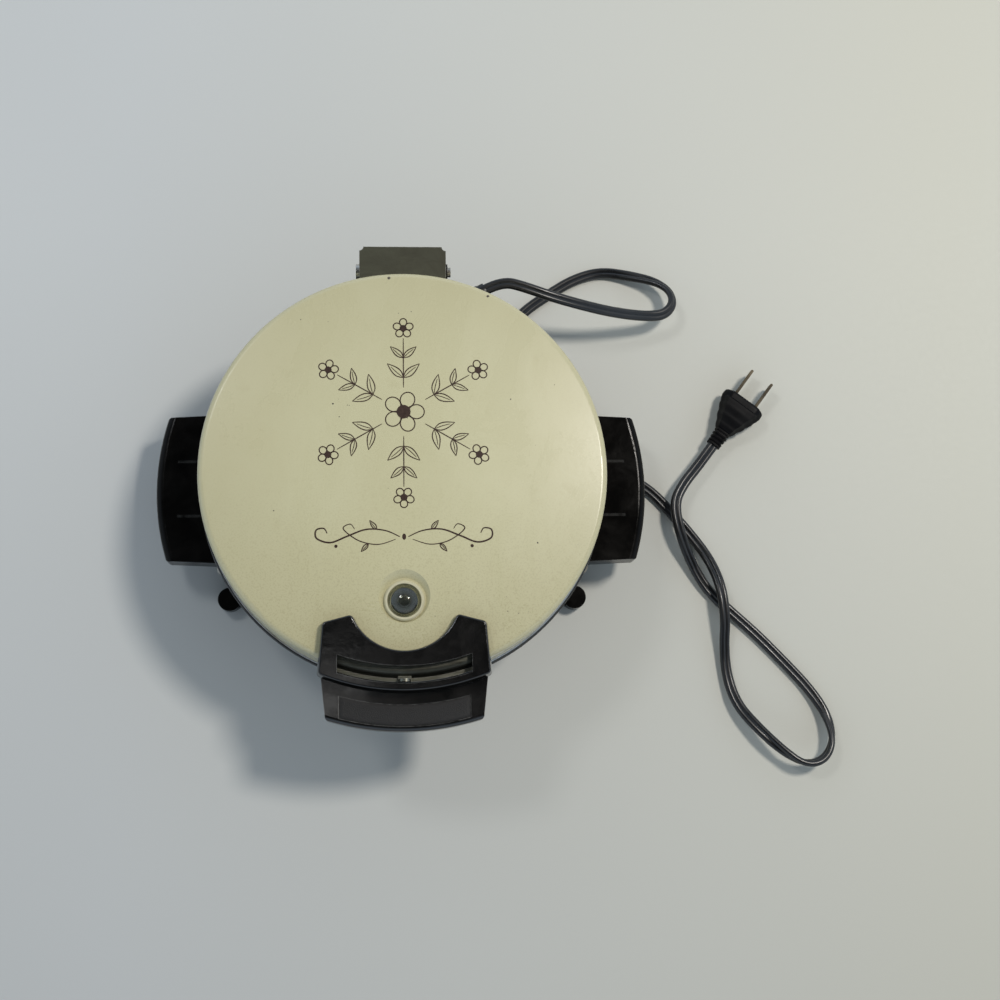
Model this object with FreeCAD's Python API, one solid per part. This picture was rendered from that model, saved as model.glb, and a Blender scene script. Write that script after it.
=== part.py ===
"""Round Belgian waffle maker with a domed painted lid, phenolic handles and a flat twin cord.

Millimetres, +Z up, front of the appliance towards -Y, hinge towards +Y. The feet stand on z = 0.
Shapes are built about the body's own vertical axis and moved by AXIS_Y when they are written, so
that the origin is the centre of the appliance's footprint box.
"""
import FreeCAD, Part
import math
import os

V = FreeCAD.Vector
Z_AXIS = V(0, 0, 1)

# ---- driving dimensions -------------------------------------------------------------------
SHEET = 1.2                 # thickness of every pressed sheet-metal part
FLOAT_UP = 4.0              # how far the hinge pin can rise in its slots
RUNNING_GAP = 0.06          # radial clearance of the hinge pin

PART_Z = 50.8               # plane where the two halves meet
GRIP_R = 125.0              # outermost radius of the front grip and of the side handles
BRACKET_BACK_Y = 116.0      # rearmost edge of the lid's hinge bracket
AXIS_Y = (GRIP_R - BRACKET_BACK_Y) / 2

LID_SKIRT_R = 99.4          # lid wall at its lower edge
LID_SKIRT_Z = 54.2
LID_TOP_Z = 86.0
LID_WALL_TILT = math.radians(1)
LID_SHOULDER_R = 3.2
LID_CROWN_R = 1200.0

LID_RIM_R = 100.1           # outside of the lid's bright rim
BASE_RING_R = 101.2         # outside of the dark ring on the base
SHELL_R = 98.6              # base wall
SHELL_TOP_Z = 45.5
SHELL_BOTTOM_Z = 14.0
SHELL_CORNER_R = 16.0

GRID_R = 89.5               # body of a cast grid
GRID_FLANGE_R = 96.6
GRID_DEPTH = 12.3           # from the parting plane to the floor of a grid
GRID_FLOOR = 3.0
PEG_PITCH = 17.5
PEG_TOP_DEPTH = 3.3         # from the parting plane to the top of a peg

ELEMENT_R = 58.0
ELEMENT_TUBE_R = 3.0

PIN_Y = 109.0
PIN_Z = 50.0
PIN_R = 2.5
EAR_X = 17.5                # middle of the base bracket's ears
BRACKET_X = 21.6            # outside of the lid bracket's sides

FOOT_R = 84.0
FOOT_TOE_R = 104.3
FOOT_ANGLE = 31.0           # degrees from the X axis

HANDLE_HALF = 36.5          # half width of a side handle
HANDLE_TOP_Z = 32.0
GRIP_TOP_Z = 79.2

BEZEL_TOP_Z = 87.8
BEZEL_UNDER_Z = 80.4
BEZEL_R = 106.0             # front edge of the bezel
NOTCH_R = 26.6              # round bite in the bezel, behind the jewel's dish
NOTCH_Y = -60.9

JEWEL_Y = -63.3
DISH_Y = -61.2              # the pressed dish round the jewel sits a little behind it
LAMP_HOLE_R = 6.2

LOWER_ELEMENT = 21.3        # the heaters' and reflectors' distances from the parting plane
LOWER_REFLECTOR = 29.0
UPPER_ELEMENT = 20.2
UPPER_REFLECTOR = 26.6

HANDLE_SCREW_Y = 14.0       # places of the screws, rivets and lead bushes
HANDLE_SCREW_Z = 29.9
RIVET_ANGLE = 25.1
RIVET_Z = 39.5
GRIP_SCREW_X = 24.0
GRIP_SCREW_Z = 75.6
BEZEL_SCREW_X = 31.0
BEZEL_SCREW_Y = -79.0
BASE_HINGE_SCREW_X = 8.0
BASE_HINGE_SCREW_Z = 34.5
LID_HINGE_SCREW_X = 12.0
LID_HINGE_SCREW_Z = 64.0
LEAD_HOLE_R = 3.0
BASE_LEAD_Z = 41.0
LID_LEAD_Z = 60.5

CORD_R = 2.9                # half the width of the flat twin cord
CORD_FLOOR = CORD_R
ROUNDING = 0.45             # share of the shorter run that an arc of the cord takes
PLUG_Z = 7.6
PLUG_LENGTH = 30.0
BLADE_SPACING = 12.7
BLADE_SIDES = (-BLADE_SPACING / 2, BLADE_SPACING / 2)
BLADE_ROOT = 22.0           # how deep in the plug a blade starts
BLADE_LENGTH = 16.0         # beyond the plug's face

# The cord from the strain relief to the plug: out at the rear, a falling loop, back under the
# body, out under the right handle, and one twisted loop on the table.
CORD_ROUTE = [
    V(43.0, 103.0, 40.0),
    V(52.0, 107.5, 40.5),
    V(63.5, 104.5, 40.5),
    V(77.0, 100.2, 39.0),
    V(92.0, 97.3, 35.0),
    V(106.0, 95.6, 29.5),
    V(119.0, 95.2, 23.5),
    V(131.0, 95.6, 18.5),
    V(140.6, 97.2, 15.5),
    V(146.0, 104.0, 13.0),
    V(144.4, 112.0, 10.5),
    V(136.8, 118.0, 8.0),
    V(124.0, 122.0, 5.0),
    V(108.0, 125.0, CORD_FLOOR),
    V(93.0, 120.4, CORD_FLOOR),
    V(79.0, 111.6, CORD_FLOOR),
    V(66.0, 102.6, CORD_FLOOR),
    V(56.0, 90.5, CORD_FLOOR),
    V(49.5, 76.0, CORD_FLOOR),
    V(46.5, 60.0, CORD_FLOOR),
    V(48.0, 44.0, CORD_FLOOR),
    V(57.0, 29.5, CORD_FLOOR),
    V(72.0, 20.5, CORD_FLOOR),
    V(89.0, 16.6, CORD_FLOOR),
    V(106.0, 14.6, CORD_FLOOR),
    V(120.5, 10.8, CORD_FLOOR),
    V(132.0, 3.8, CORD_FLOOR),
    V(142.0, -7.0, CORD_FLOOR),
    V(152.5, -19.5, CORD_FLOOR),
    V(162.0, -33.0, 4.5),
    V(167.0, -48.0, 9.8),
    V(168.8, -64.5, 9.8),
    V(168.4, -80.0, 4.5),
    V(169.4, -95.0, 3.5),
    V(173.6, -110.0, 6.0),
    V(184.0, -123.0, 9.0),
    V(196.5, -135.2, 10.5),
    V(207.8, -142.0, 10.5),
    V(218.0, -139.6, 9.5),
    V(223.6, -129.5, 7.5),
    V(221.6, -116.0, 4.5),
    V(213.0, -102.0, CORD_FLOOR),
    V(200.0, -87.8, CORD_FLOOR),
    V(186.0, -73.2, CORD_FLOOR),
    V(172.5, -61.0, CORD_FLOOR),
    V(160.5, -49.5, CORD_FLOOR),
    V(152.4, -35.5, 4.5),
    V(146.0, -20.0, 9.8),
    V(143.4, -4.0, 9.8),
    V(149.0, 6.5, 8.2),
    V(157.3, 16.3, PLUG_Z),
    V(165.6, 27.3, PLUG_Z),
]


# ---- building blocks ----------------------------------------------------------------------
def closed_wire(points, place):
    """Wire through (a, b) points; a point (a, b, ma, mb) is reached by an arc through (ma, mb)."""
    edges = []
    previous = points[-1]
    for point in points:
        start = place(*previous[:2])
        end = place(*point[:2])
        if len(point) == 4:
            edges.append(Part.Arc(start, place(*point[2:]), end).toShape())
        else:
            edges.append(Part.LineSegment(start, end).toShape())
        previous = point
    return Part.Wire(edges)


def turned(points):
    """Solid of revolution about Z of a closed (radius, z) profile."""
    wire = closed_wire(points, lambda r, z: V(r, 0, z))
    return Part.Face(wire).revolve(V(0, 0, 0), Z_AXIS, 360)


def plan_prism(points, bottom, top):
    """Vertical prism of a closed (x, y) outline."""
    wire = closed_wire(points, lambda x, y: V(x, y, bottom))
    return Part.Face(wire).extrude(V(0, 0, top - bottom))


def side_plate(points, x_low, x_high):
    """Plate across X of a closed (y, z) outline."""
    wire = closed_wire(points, lambda y, z: V(x_low, y, z))
    return Part.Face(wire).extrude(V(x_high - x_low, 0, 0))


def box(x_low, x_high, y_low, y_high, z_low, z_high):
    return Part.makeBox(x_high - x_low, y_high - y_low, z_high - z_low, V(x_low, y_low, z_low))


def drum(radius, bottom, top, x=0.0, y=0.0):
    return Part.makeCylinder(radius, top - bottom, V(x, y, bottom))


def rod(radius, start, end):
    return Part.makeCylinder(radius, (end - start).Length, start, end - start)


def pipe_ring(outer, inner, bottom, top):
    return drum(outer, bottom, top).cut(drum(inner, bottom - 1, top + 1))


def around(shape, angle):
    return shape.rotated(V(0, 0, 0), Z_AXIS, angle)


def polar(radius, angle, z=0.0):
    a = math.radians(angle)
    return V(radius * math.cos(a), radius * math.sin(a), z)


def mirrored(shape):
    return shape.mirror(V(0, 0, 0), V(1, 0, 0))


def screw(start, end, shank, head, head_height):
    """Round-headed screw: the head's underside is at start and the tip at end."""
    along = end - start
    along.normalize()
    crown = rod(head, start - along * head_height, start)
    return crown.fuse(rod(shank, start, end)).removeSplitter()


def save(name, *solids):
    """Writes one node; several solids make a group of identical pieces."""
    shape = solids[0] if len(solids) == 1 else Part.makeCompound(list(solids))
    shape = shape.translated(V(0, AXIS_Y, 0))
    for solid in shape.Solids:
        if not solid.isValid():
            raise ValueError(name + " is not a valid solid")
    shape.exportStep("parts/" + name + ".step")


def rounded_route(points):
    """Straight runs joined by tangent arcs as large as the runs allow, and the arcs' radii."""
    edges = []
    radii = []
    start = points[0]
    for before, corner, after in zip(points, points[1:], points[2:]):
        back = before - corner
        ahead = after - corner
        half_turn = (math.pi - back.getAngle(ahead)) / 2
        reach = ROUNDING * min(back.Length, ahead.Length)
        radius = reach / math.tan(half_turn)
        back.normalize()
        ahead.normalize()
        inward = back + ahead
        inward.normalize()
        enter = corner + back * reach
        leave = corner + ahead * reach
        middle = corner + inward * (radius / math.cos(half_turn) - radius)
        edges.append(Part.LineSegment(start, enter).toShape())
        edges.append(Part.Arc(enter, middle, leave).toShape())
        radii.append(radius)
        start = leave
    edges.append(Part.LineSegment(start, points[-1]).toShape())
    return Part.Wire(edges), radii


def tube(points, radius):
    """Round tube along a rounded route."""
    path, radii = rounded_route(points)
    circle = Part.makeCircle(radius, points[0], points[1] - points[0])
    return path.makePipeShell([Part.Wire(circle)], True, False), path.Length, radii


# ---- base ---------------------------------------------------------------------------------
def cover_screw_points():
    return [polar(66.5, angle) for angle in (60, 180, 300)]


def foot_angles():
    return {
        "front_right_foot": -FOOT_ANGLE,
        "front_left_foot": 180 + FOOT_ANGLE,
        "rear_right_foot": FOOT_ANGLE,
        "rear_left_foot": 180 - FOOT_ANGLE,
    }


RELIEF_TIP = CORD_ROUTE[0]
RELIEF_AXIS = (CORD_ROUTE[1] - CORD_ROUTE[0]).normalize()
RELIEF_LENGTH = 23.4
RELIEF_START = RELIEF_TIP - RELIEF_AXIS * RELIEF_LENGTH


def base_shell():
    corner_r = SHELL_R - SHELL_CORNER_R
    corner_z = SHELL_BOTTOM_Z + SHELL_CORNER_R
    inner_corner = SHELL_CORNER_R - SHEET
    diagonal = math.sqrt(0.5)
    opening_r = 60.0
    shell = turned([
        (opening_r, SHELL_BOTTOM_Z),
        (corner_r, SHELL_BOTTOM_Z),
        (SHELL_R, corner_z, corner_r + SHELL_CORNER_R * diagonal, corner_z - SHELL_CORNER_R * diagonal),
        (SHELL_R, SHELL_TOP_Z),
        (SHELL_R - SHEET, SHELL_TOP_Z),
        (SHELL_R - SHEET, corner_z),
        (corner_r, SHELL_BOTTOM_Z + SHEET,
         corner_r + inner_corner * diagonal, corner_z - inner_corner * diagonal),
        (opening_r, SHELL_BOTTOM_Z + SHEET),
    ])
    cuts = [rod(5.2, RELIEF_START, RELIEF_TIP)]
    cuts += [drum(2.2, 10, 20, p.x, p.y) for p in (polar(FOOT_R, a) for a in foot_angles().values())]
    cuts += [drum(1.8, 10, 20, p.x, p.y) for p in cover_screw_points()]
    for x in (-110, 90):
        for y in (-HANDLE_SCREW_Y, HANDLE_SCREW_Y):
            cuts.append(rod(2.2, V(x, y, HANDLE_SCREW_Z), V(x + 20, y, HANDLE_SCREW_Z)))
    for angle in (RIVET_ANGLE, -RIVET_ANGLE, 180 - RIVET_ANGLE, 180 + RIVET_ANGLE):
        cuts.append(rod(2.0, polar(90, angle, RIVET_Z), polar(105, angle, RIVET_Z)))
    for x in (-BASE_HINGE_SCREW_X, BASE_HINGE_SCREW_X):
        cuts.append(rod(2.0, V(x, 90, BASE_HINGE_SCREW_Z), V(x, 105, BASE_HINGE_SCREW_Z)))
    cuts.append(rod(LEAD_HOLE_R + 0.1, V(0, 90, BASE_LEAD_Z), V(0, 105, BASE_LEAD_Z)))
    return shell.cut(cuts)


def base_ring():
    top = PART_Z - 0.3
    return turned([
        (97.0, top),
        (BASE_RING_R - 1.2, top),
        (BASE_RING_R, top - 1.2, BASE_RING_R - 0.35, top - 0.35),
        (BASE_RING_R, SHELL_TOP_Z + 1.3),
        (BASE_RING_R - 1.2, SHELL_TOP_Z + 0.1, BASE_RING_R - 0.35, SHELL_TOP_Z + 0.45),
        (90.5, SHELL_TOP_Z + 0.1),
        (90.5, SHELL_TOP_Z + 0.9),
        (97.0, SHELL_TOP_Z + 0.9),
    ]).cut([drum(1.8, 40, 60, p.x, p.y) for p in grid_screw_points()])


def foot(angle):
    """Phenolic foot with an outward toe that the stored cord is wound round."""
    toe_half = 6.0
    post = drum(8.0, 0, SHELL_BOTTOM_Z - 0.1, FOOT_R)
    arm = box(FOOT_R, FOOT_TOE_R, -toe_half, toe_half, 1.2, 5.8)
    knob = drum(toe_half, 1.2, 8.6, FOOT_TOE_R)
    rib = plan_prism([(FOOT_R, 5.0), (FOOT_R + 13.5, 5.0), (FOOT_R + 7.5, 11.5), (FOOT_R, 11.5)], -2, 2)
    rib = rib.rotated(V(0, 0, 0), V(1, 0, 0), 90)
    shape = post.fuse([arm, knob, rib]).removeSplitter()
    shape = shape.cut([drum(2.1, -1, 20, FOOT_R), drum(4.2, -1, 4.5, FOOT_R)])
    return around(shape, angle)


def bottom_cover():
    plate = drum(73.0, SHELL_BOTTOM_Z - 0.1 - SHEET, SHELL_BOTTOM_Z - 0.1)
    vent = box(24, 42, -1.6, 1.6, 5, 20).fuse([drum(1.6, 5, 20, 24), drum(1.6, 5, 20, 42)])
    cuts = [around(vent, 30 * step) for step in range(12)]
    cuts += [drum(1.8, 5, 20, p.x, p.y) for p in cover_screw_points()]
    return plate.cut(cuts)


def side_handle():
    """Right-hand handle: a hollow grip with a down-turned lip, open underneath for the fingers."""
    lip = 4.0
    soft = lip * (1 - math.sqrt(0.5))
    bottom = 17.5
    body = turned([
        (100.2, bottom),
        (100.2, HANDLE_TOP_Z),
        (GRIP_R - lip, HANDLE_TOP_Z),
        (GRIP_R, HANDLE_TOP_Z - lip, GRIP_R - soft, HANDLE_TOP_Z - soft),
        (GRIP_R, bottom + 1.0),
        (GRIP_R - 1.0, bottom, GRIP_R - 0.3, bottom + 0.3),
    ])
    wide = HANDLE_HALF + 1.8
    body = body.common(plan_prism([
        (90, -wide),
        (116.9, -HANDLE_HALF - 0.5),
        (120.3, -HANDLE_HALF + 2.5, 119.6, -HANDLE_HALF + 0.4),
        (130, -HANDLE_HALF + 4),
        (130, HANDLE_HALF - 4),
        (120.3, HANDLE_HALF - 2.5),
        (116.9, HANDLE_HALF + 0.5, 119.6, HANDLE_HALF - 0.4),
        (90, wide),
    ], 0, 60))
    hollow = pipe_ring(GRIP_R - 3.5, 105.0, bottom - 5, 27.5)
    hollow = hollow.common(box(90, 130, -33, 33, 0, 60))
    holes = [rod(2.05, V(90, y, HANDLE_SCREW_Z), V(114, y, HANDLE_SCREW_Z))
             for y in (-HANDLE_SCREW_Y, HANDLE_SCREW_Y)]
    return body.cut([hollow] + holes)


def handle_bracket():
    """Right-hand steel strap between the base wall and the handle."""
    strap = pipe_ring(SHELL_R + 0.1 + SHEET, SHELL_R + 0.1, 22, 44)
    strap = strap.common(box(80, 110, -46, 46, 0, 60))
    cuts = [rod(2.2, V(90, y, HANDLE_SCREW_Z), V(110, y, HANDLE_SCREW_Z))
            for y in (-HANDLE_SCREW_Y, HANDLE_SCREW_Y)]
    cuts += [rod(2.0, polar(90, a, RIVET_Z), polar(105, a, RIVET_Z)) for a in (-RIVET_ANGLE, RIVET_ANGLE)]
    waist = box(80, 110, -34, 34, 33, 60)
    return strap.cut(cuts + [waist])


def handle_screws():
    solids = []
    for side in (1, -1):
        for y in (-HANDLE_SCREW_Y, HANDLE_SCREW_Y):
            start = V(side * 95.4, y, HANDLE_SCREW_Z)
            solids.append(screw(start, V(side * 112, y, HANDLE_SCREW_Z), 2.0, 3.0, 2.0))
    return solids


def bracket_rivets():
    """Domed rivets that hold the ends of the handle straps to the base wall."""
    solids = []
    for angle in (RIVET_ANGLE, -RIVET_ANGLE, 180 - RIVET_ANGLE, 180 + RIVET_ANGLE):
        seat = SHELL_R + 0.1 + SHEET
        shank = rod(1.9, polar(SHELL_R - 3.2, angle, RIVET_Z), polar(seat, angle, RIVET_Z))
        ball = Part.makeSphere(4.6, polar(seat - 2.2, angle, RIVET_Z))
        head = ball.common(rod(5.0, polar(seat + 0.05, angle, RIVET_Z), polar(seat + 6, angle, RIVET_Z)))
        tail = rod(3.0, polar(SHELL_R - 3.2, angle, RIVET_Z), polar(SHELL_R - SHEET - 0.8, angle, RIVET_Z))
        link = rod(1.9, polar(seat - 0.1, angle, RIVET_Z), polar(seat + 0.5, angle, RIVET_Z))
        solids.append(head.fuse([link, shank, tail]).removeSplitter())
    return solids


def hinge_base_bracket():
    """Steel bracket on the base wall; its two ears have upright slots for the hinge pin."""
    seat = pipe_ring(SHELL_R + 0.15 + SHEET, SHELL_R + 0.15, 27, 44.5)
    seat = seat.common(box(-19, 19, 80, 110, 0, 60))
    boss = 4.3
    top = PIN_Z + FLOAT_UP
    outline = [
        (98.9, 28.0),
        (105.0, 28.0),
        (PIN_Y + boss, 37.0),
        (PIN_Y + boss, top),
        (PIN_Y - boss, top, PIN_Y, top + boss),
        (PIN_Y - boss, 45.0),
        (102.5, 44.0),
        (98.9, 44.0),
    ]
    slot_r = PIN_R + RUNNING_GAP
    slot = side_plate([
        (PIN_Y + slot_r, top),
        (PIN_Y - slot_r, top, PIN_Y, top + slot_r),
        (PIN_Y - slot_r, PIN_Z),
        (PIN_Y + slot_r, PIN_Z, PIN_Y, PIN_Z - slot_r),
    ], -30, 30)
    ears = [side_plate(outline, side * EAR_X - 0.8, side * EAR_X + 0.8) for side in (-1, 1)]
    shape = seat.fuse(ears).removeSplitter()
    holes = [rod(2.0, V(x, 90, BASE_HINGE_SCREW_Z), V(x, 105, BASE_HINGE_SCREW_Z))
             for x in (-BASE_HINGE_SCREW_X, BASE_HINGE_SCREW_X)]
    holes.append(rod(LEAD_HOLE_R + 0.1, V(0, 90, BASE_LEAD_Z), V(0, 105, BASE_LEAD_Z)))
    return shape.cut([slot] + holes)


def hinge_base_screws():
    seat_y = SHELL_R + 0.15 + SHEET + 0.05
    return [screw(V(x, seat_y, BASE_HINGE_SCREW_Z), V(x, 93, BASE_HINGE_SCREW_Z), 1.9, 3.2, 2.0)
            for x in (-BASE_HINGE_SCREW_X, BASE_HINGE_SCREW_X)]


def lead_grommet(wall_in, wall_out, z):
    """Bush that carries the lid's leads through a wall at the back."""
    bush = rod(LEAD_HOLE_R, V(0, wall_in - 1.5, z), V(0, wall_out + 2.0, z))
    collar = rod(LEAD_HOLE_R + 1.4, V(0, wall_out + 0.1, z), V(0, wall_out + 2.0, z))
    return bush.fuse(collar).removeSplitter().cut(rod(1.6, V(0, 80, z), V(0, 120, z)))


# ---- heating parts ------------------------------------------------------------------------
def grid_screw_points():
    return [polar(93.4, angle) for angle in (45, 135, 225, 315)]


def waffle_grid():
    """Cast grid that opens upwards, with the parting plane at z = 0."""
    floor = -GRID_DEPTH
    face = -0.5
    flange_under = -4.3
    under = floor - GRID_FLOOR
    dish = turned([
        (0, under),
        (GRID_R - 1.0, under),
        (GRID_R, under + 1.0),
        (GRID_R, flange_under),
        (GRID_FLANGE_R, flange_under),
        (GRID_FLANGE_R, face),
        (88.2, face),
        (86.0, floor),
        (0, floor),
    ])
    foot_half = 6.6
    top_half = 5.4
    peg_top = -PEG_TOP_DEPTH
    base_wire = square_wire(foot_half, floor - 0.2)
    top_wire = square_wire(top_half, peg_top)
    peg = Part.makeLoft([base_wire, top_wire], True, True)
    parts = []
    first = 10.5
    for column in range(4):
        for row in range(4):
            x = first + PEG_PITCH * column
            y = first + PEG_PITCH * row
            if math.hypot(x + foot_half, y + foot_half) < 85.0:
                for sx in (1, -1):
                    for sy in (1, -1):
                        parts.append(peg.translated(V(sx * x, sy * y, 0)))
    parts.append(box(-89, 89, -1.5, 1.5, floor - 0.2, peg_top))
    parts.append(box(-1.5, 1.5, -89, 89, floor - 0.2, peg_top))
    grid = dish.fuse(parts).removeSplitter()
    holes = []
    for p in grid_screw_points():
        holes.append(drum(1.8, -10, 5, p.x, p.y))
        holes.append(drum(2.9, -2.2, 5, p.x, p.y))
    return grid.cut(holes)


def square_wire(half, z):
    corners = [(-half, -half), (half, -half), (half, half), (-half, half)]
    return closed_wire(corners, lambda x, y: V(x, y, z))


def upper(shape):
    """Turns a part of the lower half, built about the parting plane, over into the lid."""
    return shape.rotated(V(0, 0, 0), V(1, 0, 0), 180).translated(V(0, 0, PART_Z))


def grid_screws():
    return [screw(V(p.x, p.y, -2.15), V(p.x, p.y, -9.0), 1.7, 2.8, 1.4) for p in grid_screw_points()]


def heating_element(height, leg_end):
    """Sheathed ring heater with two legs; height and leg_end are below the parting plane."""
    gap = 16.0
    ring = Part.makeTorus(ELEMENT_R, ELEMENT_TUBE_R, V(0, 0, -height), Z_AXIS, -180, 180, 360 - gap)
    ring = around(ring, 90 + gap / 2)
    legs = []
    for angle in (90 - gap / 2, 90 + gap / 2):
        end = polar(ELEMENT_R, angle, -height)
        legs.append(Part.makeSphere(ELEMENT_TUBE_R, end))
        legs.append(rod(1.4, end, V(end.x, end.y, -leg_end)))
    return ring.fuse(legs).removeSplitter()


def element_clips(height, seat):
    """Ceramic saddles that hold the heater off its reflector."""
    solids = []
    for angle in (0, 72, 144, 216, 288):
        block = box(ELEMENT_R - 6, ELEMENT_R + 6, -4, 4, -seat, -height + 1.0)
        groove = rod(ELEMENT_TUBE_R + 0.2, V(ELEMENT_R, -9, -height), V(ELEMENT_R, 9, -height))
        solids.append(around(block.cut(groove), angle))
    return solids


def reflector(radius, height, lip, leg_hole):
    """Bright heat reflector with an upturned edge."""
    dish = turned([
        (0, -height),
        (radius, -height),
        (radius, -height + lip),
        (radius - 0.8, -height + lip),
        (radius - 0.8, -height + 0.8),
        (0, -height + 0.8),
    ])
    legs = [polar(ELEMENT_R, angle) for angle in (82, 98)]
    return dish.cut([drum(leg_hole, -height - 5, -height + 5, p.x, p.y) for p in legs])


def thermostat():
    disc = drum(11.0, SHELL_BOTTOM_Z + SHEET + 0.3, 20.6, -34, 22)
    tabs = [box(-34 + s * 12 - 3, -34 + s * 12 + 3, 19, 25, 17.6, 18.4) for s in (-1, 1)]
    return disc.fuse(tabs).removeSplitter()


def terminal_block():
    low = SHELL_BOTTOM_Z + SHEET + 0.2
    body = box(-6, 20, 66, 78, low, 20.4)
    wells = [drum(1.8, 18.0, 25, x, 72) for x in (-1.5, 4.5, 10.5, 16.5)]
    return body.cut(wells)


def supply_leads():
    """Two insulated leads from the strain relief down to the terminal block."""
    solids = []
    for rise, x in ((1.5, 6.5), (-1.5, 12.5)):
        start = RELIEF_START - RELIEF_AXIS * 0.1 + V(0, 0, rise)
        route = [
            start,
            start - RELIEF_AXIS * 5.0,
            V(x + 4.0, 89.6, 32.0),
            V(x + 1.0, 90.4, 22.0),
            V(x + 0.5, 86.0, 18.2),
            V(x, 78.2, 18.0),
        ]
        solids.append(tube(route, 1.1)[0])
    return solids


# ---- cord ---------------------------------------------------------------------------------
def strain_relief():
    """Tapered rubber relief that grips the base wall and narrows to the cord."""
    neck_end = RELIEF_START + RELIEF_AXIS * 6.0
    body = Part.makeCone(5.0, CORD_R + 0.5, RELIEF_LENGTH - 6.0, neck_end, RELIEF_AXIS)
    neck = rod(5.0, RELIEF_START, neck_end)
    return body.fuse(neck).removeSplitter()


def plug_section(width, height, station):
    """Rounded rectangle across the plug's axis."""
    r = 0.42 * min(width, height)
    a = width / 2
    b = height / 2
    c = r * (1 - math.sqrt(0.5))
    outline = [
        (a - r, -b),
        (a, -b + r, a - c, -b + c),
        (a, b - r),
        (a - r, b, a - c, b - c),
        (-a + r, b),
        (-a, b - r, -a + c, b - c),
        (-a, -b + r),
        (-a + r, -b, -a + c, -b + c),
    ]
    return closed_wire(outline, lambda y, z: V(station, y, z))


def at_plug(shape):
    """Puts a shape built along +X at the end of the cord, in line with its last run."""
    end = CORD_ROUTE[-1]
    run = end - CORD_ROUTE[-2]
    heading = math.degrees(math.atan2(run.y, run.x))
    return shape.rotated(V(0, 0, 0), Z_AXIS, heading).translated(end)


def plug_body():
    stations = [(7.0, 6.4, 0), (8.2, 7.4, 7), (13.0, 10.0, 12), (22.5, 13.6, 19), (24.5, 14.6, 25)]
    sections = [plug_section(*s) for s in stations + [(23.4, 14.0, PLUG_LENGTH)]]
    shape = Part.makeLoft(sections, True, False)
    pockets = [box(BLADE_ROOT, PLUG_LENGTH + 1, y - 0.8, y + 0.8, -3.25, 3.25) for y in BLADE_SIDES]
    return at_plug(shape.cut(pockets))


def blade(y):
    tip = PLUG_LENGTH + BLADE_LENGTH
    flat = box(BLADE_ROOT, tip, y - 0.75, y + 0.75, -3.2, 3.2)
    tip_edges = [e for e in flat.Edges if all(abs(v.Point.x - tip) < 0.01 for v in e.Vertexes)]
    broad = [e for e in tip_edges if e.Length > 3.0]
    flat = flat.makeChamfer(0.5, broad)
    hole = rod(1.5, V(tip - 4.5, y - 5, 0), V(tip - 4.5, y + 5, 0))
    return flat.cut(hole)


# ---- hinge --------------------------------------------------------------------------------
def hinge_pin():
    shank = rod(PIN_R, V(-22.0, PIN_Y, PIN_Z), V(24.6, PIN_Y, PIN_Z))
    head = rod(4.0, V(-23.6, PIN_Y, PIN_Z), V(-21.8, PIN_Y, PIN_Z))
    return shank.fuse(head).removeSplitter()


def hinge_pin_clip():
    """Spring clip with two short legs on the free end of the pin."""
    ring = rod(4.2, V(22.0, PIN_Y, PIN_Z), V(23.0, PIN_Y, PIN_Z))
    legs = [box(22.0, 23.0, y - 0.9, y + 0.9, PIN_Z - 6.2, PIN_Z) for y in (PIN_Y - 2.6, PIN_Y + 2.6)]
    return ring.fuse(legs).removeSplitter().cut(rod(PIN_R + 0.02, V(20, PIN_Y, PIN_Z), V(30, PIN_Y, PIN_Z)))


# ---- lid ----------------------------------------------------------------------------------
def lid_solid(inset):
    """Solid dome bounded by the lid's outer surface moved inwards by inset."""
    cos_t = math.cos(LID_WALL_TILT)
    sin_t = math.sin(LID_WALL_TILT)
    crown_z = LID_TOP_Z - LID_CROWN_R
    centre_z = LID_TOP_Z - 2 * LID_SHOULDER_R
    for _ in range(20):
        centre_r = LID_SKIRT_R - (LID_SHOULDER_R + (centre_z - LID_SKIRT_Z) * sin_t) / cos_t
        centre_z = crown_z + math.sqrt((LID_CROWN_R - LID_SHOULDER_R) ** 2 - centre_r ** 2)
    rounding = LID_SHOULDER_R - inset
    lean = math.atan2(centre_r, centre_z - crown_z)
    middle = (LID_WALL_TILT + math.pi / 2 - lean) / 2
    top_r = centre_r + rounding * math.sin(lean)
    top_z = centre_z + rounding * math.cos(lean)
    crown = LID_CROWN_R - inset
    return turned([
        (0, LID_SKIRT_Z),
        (LID_SKIRT_R - inset / cos_t, LID_SKIRT_Z),
        (centre_r + rounding * cos_t, centre_z + rounding * sin_t),
        (top_r, top_z, centre_r + rounding * math.cos(middle), centre_z + rounding * math.sin(middle)),
        (0, LID_TOP_Z - inset, crown * math.sin(lean / 2), crown_z + crown * math.cos(lean / 2)),
    ])


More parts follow.
